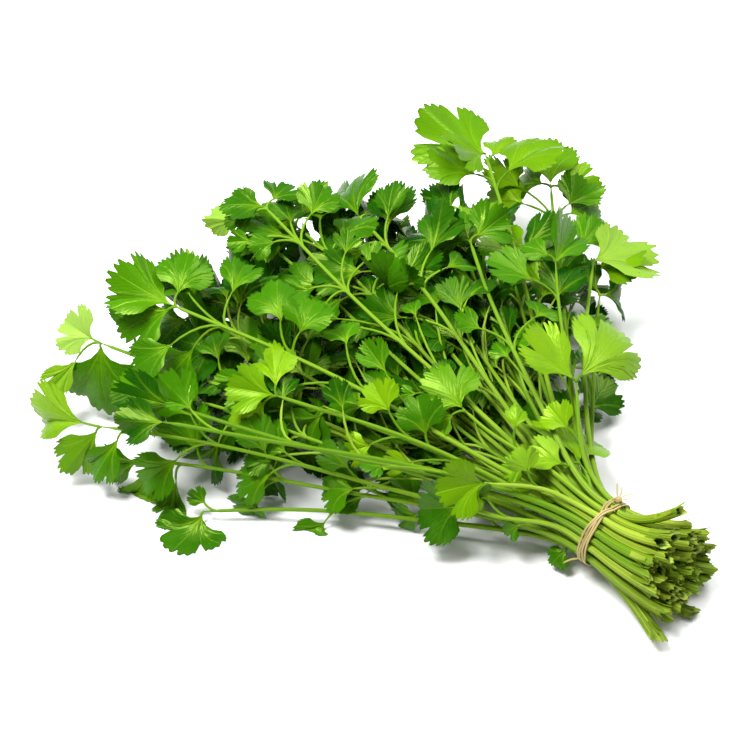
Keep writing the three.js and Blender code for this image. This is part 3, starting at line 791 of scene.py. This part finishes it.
def stalk(soup, sprig, draw, tint):
    """The stalk, from the bottom of its hollow over the rim of its cut end to its tip. Its girth is given
    along its length, grows with the 0.8th power of the distance before the tie, and has five faint
    corners and one groove, a bell curve round the stalk."""
    flesh = np.concatenate([
        np.linspace(-sprig.butt, -GRIPPED, 14),
        np.linspace(-GRIPPED, 0.03, 10)[1:],
        np.linspace(0.03, sprig.length - TIP_TAPER, 24)[1:],
        sprig.length + np.array([-0.003, -0.001, 0]),
    ])
    stations = np.concatenate([HOLLOW_AT - sprig.butt, flesh])
    rings = len(HOLLOW_AT)
    ahead = unit(sprig.line(stations + 0.0005) - sprig.line(stations - 0.0005))
    before = np.clip((-stations - GRIPPED) / BUTT_LENGTH, 0, 1.2)
    beyond = np.clip(stations / sprig.length, 0, 1)
    girth = np.interp(beyond, GIRTH_AT, GIRTH) * draw.uniform(*GIRTH_UNLIKE)
    wide = girth + draw.uniform(*BUTT_WIDER) * before**0.8
    thick = girth + draw.uniform(*BUTT_THICKER) * before**0.8
    groove = draw.uniform(*GROOVE) * np.clip(before, 0, 1)[:, None]
    side = draw.uniform(0, 2 * math.pi)
    away = abs((TURN - side + math.pi) % (2 * math.pi) - math.pi)
    shape = 1 + CORNERS * np.cos(5 * TURN + side)
    shape = shape * (1 - groove * np.exp(-((away / GROOVE_WIDE) ** 2)))
    depth = np.ones(len(stations))
    depth[:rings] = HOLLOW_WIDE
    depth *= np.clip((sprig.length - stations) / TIP_TAPER, TIP_GIRTH, 1)
    jag = draw.uniform(0, SLANTED) * np.cos(TURN + side) + JAGS[0] * np.sin(3 * TURN + 5 * side)
    jag = jag + JAGS[1] * np.sin(7 * TURN + 3 * side)
    ragged = jag * np.clip(1 - (stations + sprig.butt) / JAG_FADES, 0, 1)[:, None]
    along = np.where(stations < 0, stations / BUTT_SHADE, beyond)
    inside = np.zeros(len(stations))
    inside[:rings] = HOLLOW_INSIDE
    scale = shape * depth[:, None]
    tube(
        soup, sprig.line(stations), ahead, UPWARD, wide[:, None] * scale, thick[:, None] * scale,
        along, inside, tint, STALK_SKIN, ragged,
    )


SHREDS = 5
SHRED_RINGS = 7
SHRED_SIDES = 6
SHRED_END = (-0.0012, 0.0030)                # past the cut end, or short of it
SHRED_LONG = (0.004, 0.009)
SHRED_OFF = 0.0019           # from the stalk's middle line, where it leaves the skin
SHRED_CURL = (0.0002, 0.0022)
SHRED_WIDE = (0.0007, 0.0014)
SHRED_TAPER = 0.35
SHRED_THICK = 0.00022


def shred(soup, sprig, draw, tint):
    """A torn strip of leaf sheath at the cut end: it leaves the stalk's skin, and its distance from the
    stalk's middle line grows with the square of the way along it."""
    steps = np.linspace(0, 1, SHRED_RINGS)
    stations = draw.uniform(*SHRED_END) - sprig.butt + draw.uniform(*SHRED_LONG) * (1 - steps)
    middle = sprig.line(stations)
    side = draw.uniform(0, 2 * math.pi)
    outward = np.array([0.0, math.cos(side), math.sin(side)])
    path = middle + (SHRED_OFF + draw.uniform(*SHRED_CURL) * steps**2)[:, None] * outward
    path[:, 2] = np.maximum(path[:, 2], TABLE_CLEAR)
    wide = draw.uniform(*SHRED_WIDE) * (1 - SHRED_TAPER * steps**2)
    wide = np.repeat(wide[:, None], SHRED_SIDES, axis=1)
    thick = np.full_like(wide, SHRED_THICK)
    ahead = unit(np.gradient(middle, axis=0))
    whole = np.zeros(SHRED_RINGS)
    tube(soup, path, ahead, outward, wide, thick, stations / BUTT_SHADE, whole, tint, STALK_SKIN)


STEM_RINGS = 7
STEM_SIDES = 6
STEM_GIRTH = (0.00070, 0.00055)
STEM_ENDS = 0.3              # how much slimmer its two end rings are, inside stalk and leaflet
STEM_CLEAR = 0.0009
STEM_LEAVES = 0.45           # the share of its way for which it keeps to the stalk's direction


def leaf_stem(soup, foot, ahead, end, tint):
    """The thin stalk of a leaflet, a curve with one bend of the second degree: it leaves the main stalk
    along it and turns towards the leaflet."""
    steps = np.linspace(0, 1, STEM_RINGS)[:, None]
    joint = foot + ahead * np.linalg.norm(end - foot) * STEM_LEAVES
    route = (1 - steps) ** 2 * foot + 2 * steps * (1 - steps) * joint + steps**2 * end
    route[:, 2] = np.maximum(route[:, 2], STEM_CLEAR)
    slim = np.linspace(*STEM_GIRTH, STEM_RINGS)
    slim[[0, -1]] *= STEM_ENDS
    slim = np.repeat(slim[:, None], STEM_SIDES, axis=1)
    ahead = unit(np.gradient(route, axis=0))
    tip, whole = np.ones(STEM_RINGS), np.zeros(STEM_RINGS)
    tube(soup, route, ahead, UPWARD, slim, slim, tip, whole, tint, STALK_SKIN)


# Stalks that are listed, are long and carry few leaves stay in sight: other leaves keep off them.
BARE_FROM = 0.09
BARE_PART = np.linspace(0.25, 0.96, 60)      # shares of the length
bare_stalks = np.concatenate([
    each.line(BARE_PART * each.length) for each in sprigs
    if each.by_hand and each.length > BARE_FROM and each.leaves is not LEAVES["all"]
])


def covers(middle, reach):
    """Whether a leaf with this middle hides a bare stalk, seen from the front: the stalk lies behind it,
    and nearer than its reach to the line of sight."""
    apart = middle - bare_stalks
    ahead = apart @ TO_EYE
    beside = np.linalg.norm(apart - ahead[:, None] * TO_EYE, axis=1)
    return bool(((ahead > 0) & (beside < reach)).any())


# How the leaflets are set on the stalks. Those of the listed sprigs face the front, and the others face up
# and outward from the middle of the crown. Each is tried a few times until it is clear of those before it.
TRIES = 9
LEAF_UP = np.array([0.22, -0.34, 0.80])      # up, and a little towards the front
CROWN_MIDDLE = np.array([-0.12, 0, 0.02])
OUTWARD = 0.3
CALM = 0.65                  # how much less those listed vary
TILT = 0.28                  # how much its upward direction varies,
TILT_MORE = 0.05             # and how much more with each try
SWING = 0.15
STEM_UNLIKE = (0.7, 1.4)
STEM_AHEAD = 0.3             # how much it leans ahead
LEAF_UNLIKE = (0.8, 1.12)
HALF_SPAN = (42, 66)         # half the fan's angle, in degrees
STEM_INTO = 0.002            # how far a stem runs into its leaflet
SURFACE_CLEAR = 0.0006       # a leaflet's middle surface is at least this far above the table
NEARBY = 0.8                 # leaflets nearer than this share of their two sizes may touch
HIDES = 0.5                  # the share of its size within which a leaflet hides a stalk
TINT_UNLIKE = 0.12
PAINTED_SHADE_POWER = 0.6            # more stalks get the painted shade than not, and those listed get less of it
LISTED_PAINTED_SHADE = 0.6          # and those placed by hand are shaded less
TORN_SEED = 100

placed_middles, placed_sizes, placed_screens = [], [], []
for sprig in sorted(sprigs, key=lambda each: not each.by_hand):
    draw = np.random.default_rng(sprig.number)
    soup = Soup()
    tint = sprig.tint
    calm = CALM if sprig.by_hand else 1.0
    stalk(soup, sprig, draw, draw.random() ** PAINTED_SHADE_POWER * (LISTED_PAINTED_SHADE if sprig.by_hand else 1))
    torn = np.random.default_rng(TORN_SEED + sprig.number)
    for _ in range(SHREDS):
        shred(soup, sprig, torn, torn.random())
    for leaf in sprig.leaves:
        share, side, stem, scale, wider, lighter = leaf + USUAL[len(leaf) - 4:]
        station = sprig.line([sprig.length * share - 0.004, sprig.length * share])
        foot = station[1]
        ahead = unit(station[1] - station[0])
        length = stem * MM * draw.uniform(*STEM_UNLIKE)
        size = LEAF_LENGTH * sprig.size * scale * draw.uniform(*LEAF_UNLIKE)
        for attempt in range(TRIES):
            up = (TO_EYE if sprig.by_hand else LEAF_UP) + OUTWARD * unit(foot - FOOT - CROWN_MIDDLE)
            up = up + draw.normal(0, TILT * calm + TILT_MORE * attempt, 3)
            up = unit(up - ahead * up.dot(ahead))
            up = turned(up, ahead, sprig.turn * (1 if side == 0 else 0.5))
            heading = (sprig.heading if share == 1 else 0) + math.radians(side) + draw.normal(0, SWING)
            forward = turned(ahead, up, heading)
            base = foot if not stem else foot + unit(forward + STEM_AHEAD * ahead) * length
            half_span = math.radians(draw.uniform(*HALF_SPAN)) * wider
            surface, blade = leaflet(base, forward, up, size, half_span, draw, calm)
            surface[..., 2] = np.maximum(surface[..., 2], SURFACE_CLEAR)
            screen = coarse_tree(surface)
            middle = surface[2, COLUMNS // 2]
            apart = np.linalg.norm(middle - np.reshape(placed_middles, (-1, 3)), axis=1)
            near = np.nonzero(apart < NEARBY * (size + np.array(placed_sizes)))[0]
            clear = not any(screen.overlap(placed_screens[other]) for other in near)
            if clear and (sprig.by_hand or not covers(middle, HIDES * size)):
                break
        else:
            # no try was clear: only the leaflets at the tip are kept
            if share < 1:
                continue
        placed_middles.append(middle)
        placed_sizes.append(size)
        placed_screens.append(screen)
        if stem:
            leaf_stem(soup, foot, ahead, base + STEM_INTO * forward, tint)
        shade = tint + lighter + draw.normal(0, TINT_UNLIKE) * calm
        close_leaflet(soup, surface, blade, np.clip(shade, 0, 1), np.clip(shade - 1, 0, 1))
    piece = bpy.data.objects.new(f"coriander_{sprig.node}", soup.mesh(sprig.node, [leaf_skin, stalk_skin]))
    bpy.context.scene.collection.objects.link(piece)
    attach(piece, "root")
    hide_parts(sprig.node)


# ---- The raffia tie ------------------------------------------------------------------------------
# Four dry raffia strands are wound once round the stalks, side by side below and crossing near the top,
# and knotted on the far side. Their ends stick out of the knot, and one tail hangs loose in front.

RAFFIA_DARK = (0.24, 0.17, 0.05, 1)
RAFFIA_LIGHT = (0.54, 0.43, 0.17, 1)
RAFFIA_ROUGH = 0.55
FIBRES = (3, 60, 40)         # round the strand, along it to a metre, and from strand to strand
FIBRE_STRENGTH = 0.6
FIBRE_DEPTH = 0.0002

raffia_skin, tree, add, shader = new_material("raffia")
fibre_place = add("ShaderNodeAttribute", attribute_name="blade").outputs["Vector"]
fibres = grain_node(add, fibre_place, FIBRES, 3.0)
colour = blend_node(add, ramp_node(add, fibres, 0.35, 0.65), RAFFIA_DARK, RAFFIA_LIGHT)
bump = add("ShaderNodeBump", {"Height": fibres, "Strength": FIBRE_STRENGTH, "Distance": FIBRE_DEPTH})
tree.links.new(colour, shader.inputs["Base Color"])
tree.links.new(bump.outputs["Normal"], shader.inputs["Normal"])
shader.inputs["Roughness"].default_value = RAFFIA_ROUGH

# strands as half their width and half their thickness
WOUND = (0.00050, 0.00034)
KNOTTED = (0.0005, 0.0002)
FRAYED = (0.0003, 0.00014)
HANGING = (0.0004, 0.00016)
STRAND_SIDES = 8
STRAND_TAPER = 0.001
STRAND_END = 0.3             # how slim its ends are
WOUND_RADIUS = 0.01545
STRAND_GAP = 0.0006          # from the middle of a pair of strands to each of them
CROSSING_RISE = 0.0006       # how far one pair stands out where it crosses the other
CROSSING_AT = math.radians(12)
CROSSING_LONG = 0.25
KNOT_AT = math.radians(-28)  # round the bundle from its top, towards the near side
KNOT_RISE = 0.0012
KNOT_RADIUS = 0.0014
KNOT_LOOPS = 4
KNOT_PITCH = 0.00007         # how far a loop climbs for each radian
KNOT_SEED = 3


def strand(soup, path, over, widths, number):
    """A flat strand along a path, tapered at both ends, its face turned outward."""
    length = np.concatenate([[0], np.cumsum(np.linalg.norm(np.diff(path, axis=0), axis=1))])
    ends = np.clip(np.minimum(length, length[-1] - length) / STRAND_TAPER, STRAND_END, 1)
    shape = np.repeat(ends[:, None], STRAND_SIDES, axis=1)
    ahead = unit(np.gradient(path, axis=0))
    strands = np.full(len(path), number)
    wide, thick = widths[0] * shape, widths[1] * shape
    tube(soup, path, ahead, over, wide, thick, length, strands, tint=0, skin=0)


def round_bundle(angle, radius, x):
    """Points round the bundle: x along it, and an angle from its top towards the near side."""
    return FOOT + np.stack([x, -radius * np.sin(angle), AXIS_HEIGHT + radius * np.cos(angle)], axis=1)


# each wound strand is a circle round the bundle that drifts along it by so much at each of some angles,
# one pair of strands against the other, so that they cross near the top, where one pair swells out
soup = Soup()
draw = np.random.default_rng(KNOT_SEED)
angle = np.linspace(KNOT_AT, KNOT_AT + 2 * math.pi, 97)
around_at = np.radians([-28, -5, 12, 40, 90, 180, 270, 332])
drift = np.array([2.1, 1.6, 0.0, -1.1, -1.3, -1.3, -1.4, -2.1]) * MM
for number, (pair, step) in enumerate(((1, -1), (1, 1), (-1, -1), (-1, 1))):
    swell = np.exp(-(((angle - CROSSING_AT) / CROSSING_LONG) ** 2))
    x = pair * np.interp(angle, around_at, drift) + step * STRAND_GAP
    x = x + 0.00015 * np.sin(5 * angle + 2 * number)
    radius = WOUND_RADIUS + (CROSSING_RISE * swell if pair > 0 else 0) + 0.0001 * np.sin(9 * angle + number)
    outward = np.stack([0 * angle, -np.sin(angle), np.cos(angle)], axis=1)
    strand(soup, round_bundle(angle, radius, x), outward, WOUND, number)

# the knot is small loops, each a circle about an axis of its own that climbs along it a little
knot = round_bundle(np.array([KNOT_AT]), WOUND_RADIUS + KNOT_RISE, np.array([0.0]))[0]
turn = np.linspace(0, 2 * math.pi, 21)
for number in range(KNOT_LOOPS):
    first = unit(draw.normal(0, 1, 3))
    second = unit(np.cross(first, draw.normal(0, 1, 3)))
    loop = knot + KNOT_RADIUS * (np.cos(turn)[:, None] * first + np.sin(turn)[:, None] * second)
    loop = loop + turn[:, None] * KNOT_PITCH * np.cross(first, second)
    strand(soup, loop, unit(loop - knot), KNOTTED, 4 + number)

TAILS = (                    # which way it goes, which way it curls, length
    ((0.3, 0.6, 0.9), (0.9, 0.0, -0.5), 0.009),
    ((-0.8, 0.5, 0.7), (0.0, 0.6, -0.6), 0.008),
    ((0.9, 0.2, 0.5), (0.0, 0.5, 0.3), 0.006),
    ((-0.2, 0.9, 0.3), (-0.5, 0.0, -0.5), 0.007),
)
LOOSE_AT = np.radians([112])
LOOSE_RISE = 0.0003
LOOSE_X = np.array([-0.0012])
LOOSE_LONG = 0.008
LOOSE_WAY = np.array([-0.8, -0.7, -0.1])
LOOSE_CURL = np.array([0.4, 0.2, -0.8])
# a tail goes its way, and curls aside with the square of its length
reach = np.linspace(0, 1, 14)[:, None]
for number, (way, curl, length) in enumerate(TAILS):
    path = knot + length * (reach * unit(np.array(way)) + 0.5 * reach**2 * np.array(curl))
    strand(soup, path, np.array([0.2, 0.3, 1.0]), FRAYED, 8 + number)
start = round_bundle(LOOSE_AT, WOUND_RADIUS + LOOSE_RISE, LOOSE_X)[0]
path = start + LOOSE_LONG * (reach * unit(LOOSE_WAY) + 0.4 * reach**2 * LOOSE_CURL)
strand(soup, path, np.array([0.0, -0.5, 1.0]), HANGING, 12)

piece = bpy.data.objects.new("raffia", soup.mesh("raffia", [raffia_skin]))
bpy.context.scene.collection.objects.link(piece)
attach(piece, "root")
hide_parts("raffia_tie")
